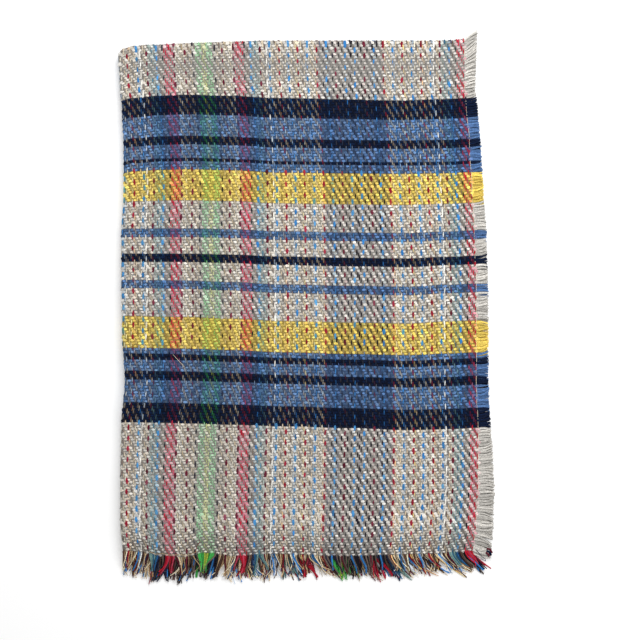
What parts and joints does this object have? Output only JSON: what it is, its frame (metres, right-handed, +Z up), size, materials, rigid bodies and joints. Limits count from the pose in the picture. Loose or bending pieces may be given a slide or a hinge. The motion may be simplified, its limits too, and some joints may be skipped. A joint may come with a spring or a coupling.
{
  "type": "wool throw blanket",
  "caption": "Wool throw in striped and banded twill with a short warp fringe and frayed sides, folded in half lengthwise and over at the top, so that it lies as a flat stack.",
  "frame": {"origin": "middle of the footprint of the folded throw, fringes included, on the surface that it lies on", "axes": "+X to the right of the throw as the picture shows it, along the weft; +Y to its top fold, along the warp; +Z up"},
  "size_m": [0.5956, 0.88, 0.0195],
  "materials": {
    "wool_cloth": "matte woollen twill, multi-coloured warp stripes crossed by grey, navy, denim blue and yellow weft bands",
    "warp_yarn": "matte woollen yarn ends in the colours of the warp",
    "weft_yarn": "matte woollen yarn ends in the colours of the weft bands"
  },
  "bodies": {
    "root": {"cloth": "wool_cloth", "end_fringe_upper": "warp_yarn", "end_fringe_lower": "warp_yarn", "side_fringe_outer": "weft_yarn", "side_fringe_inner": "weft_yarn"}
  },
  "joints": []
}
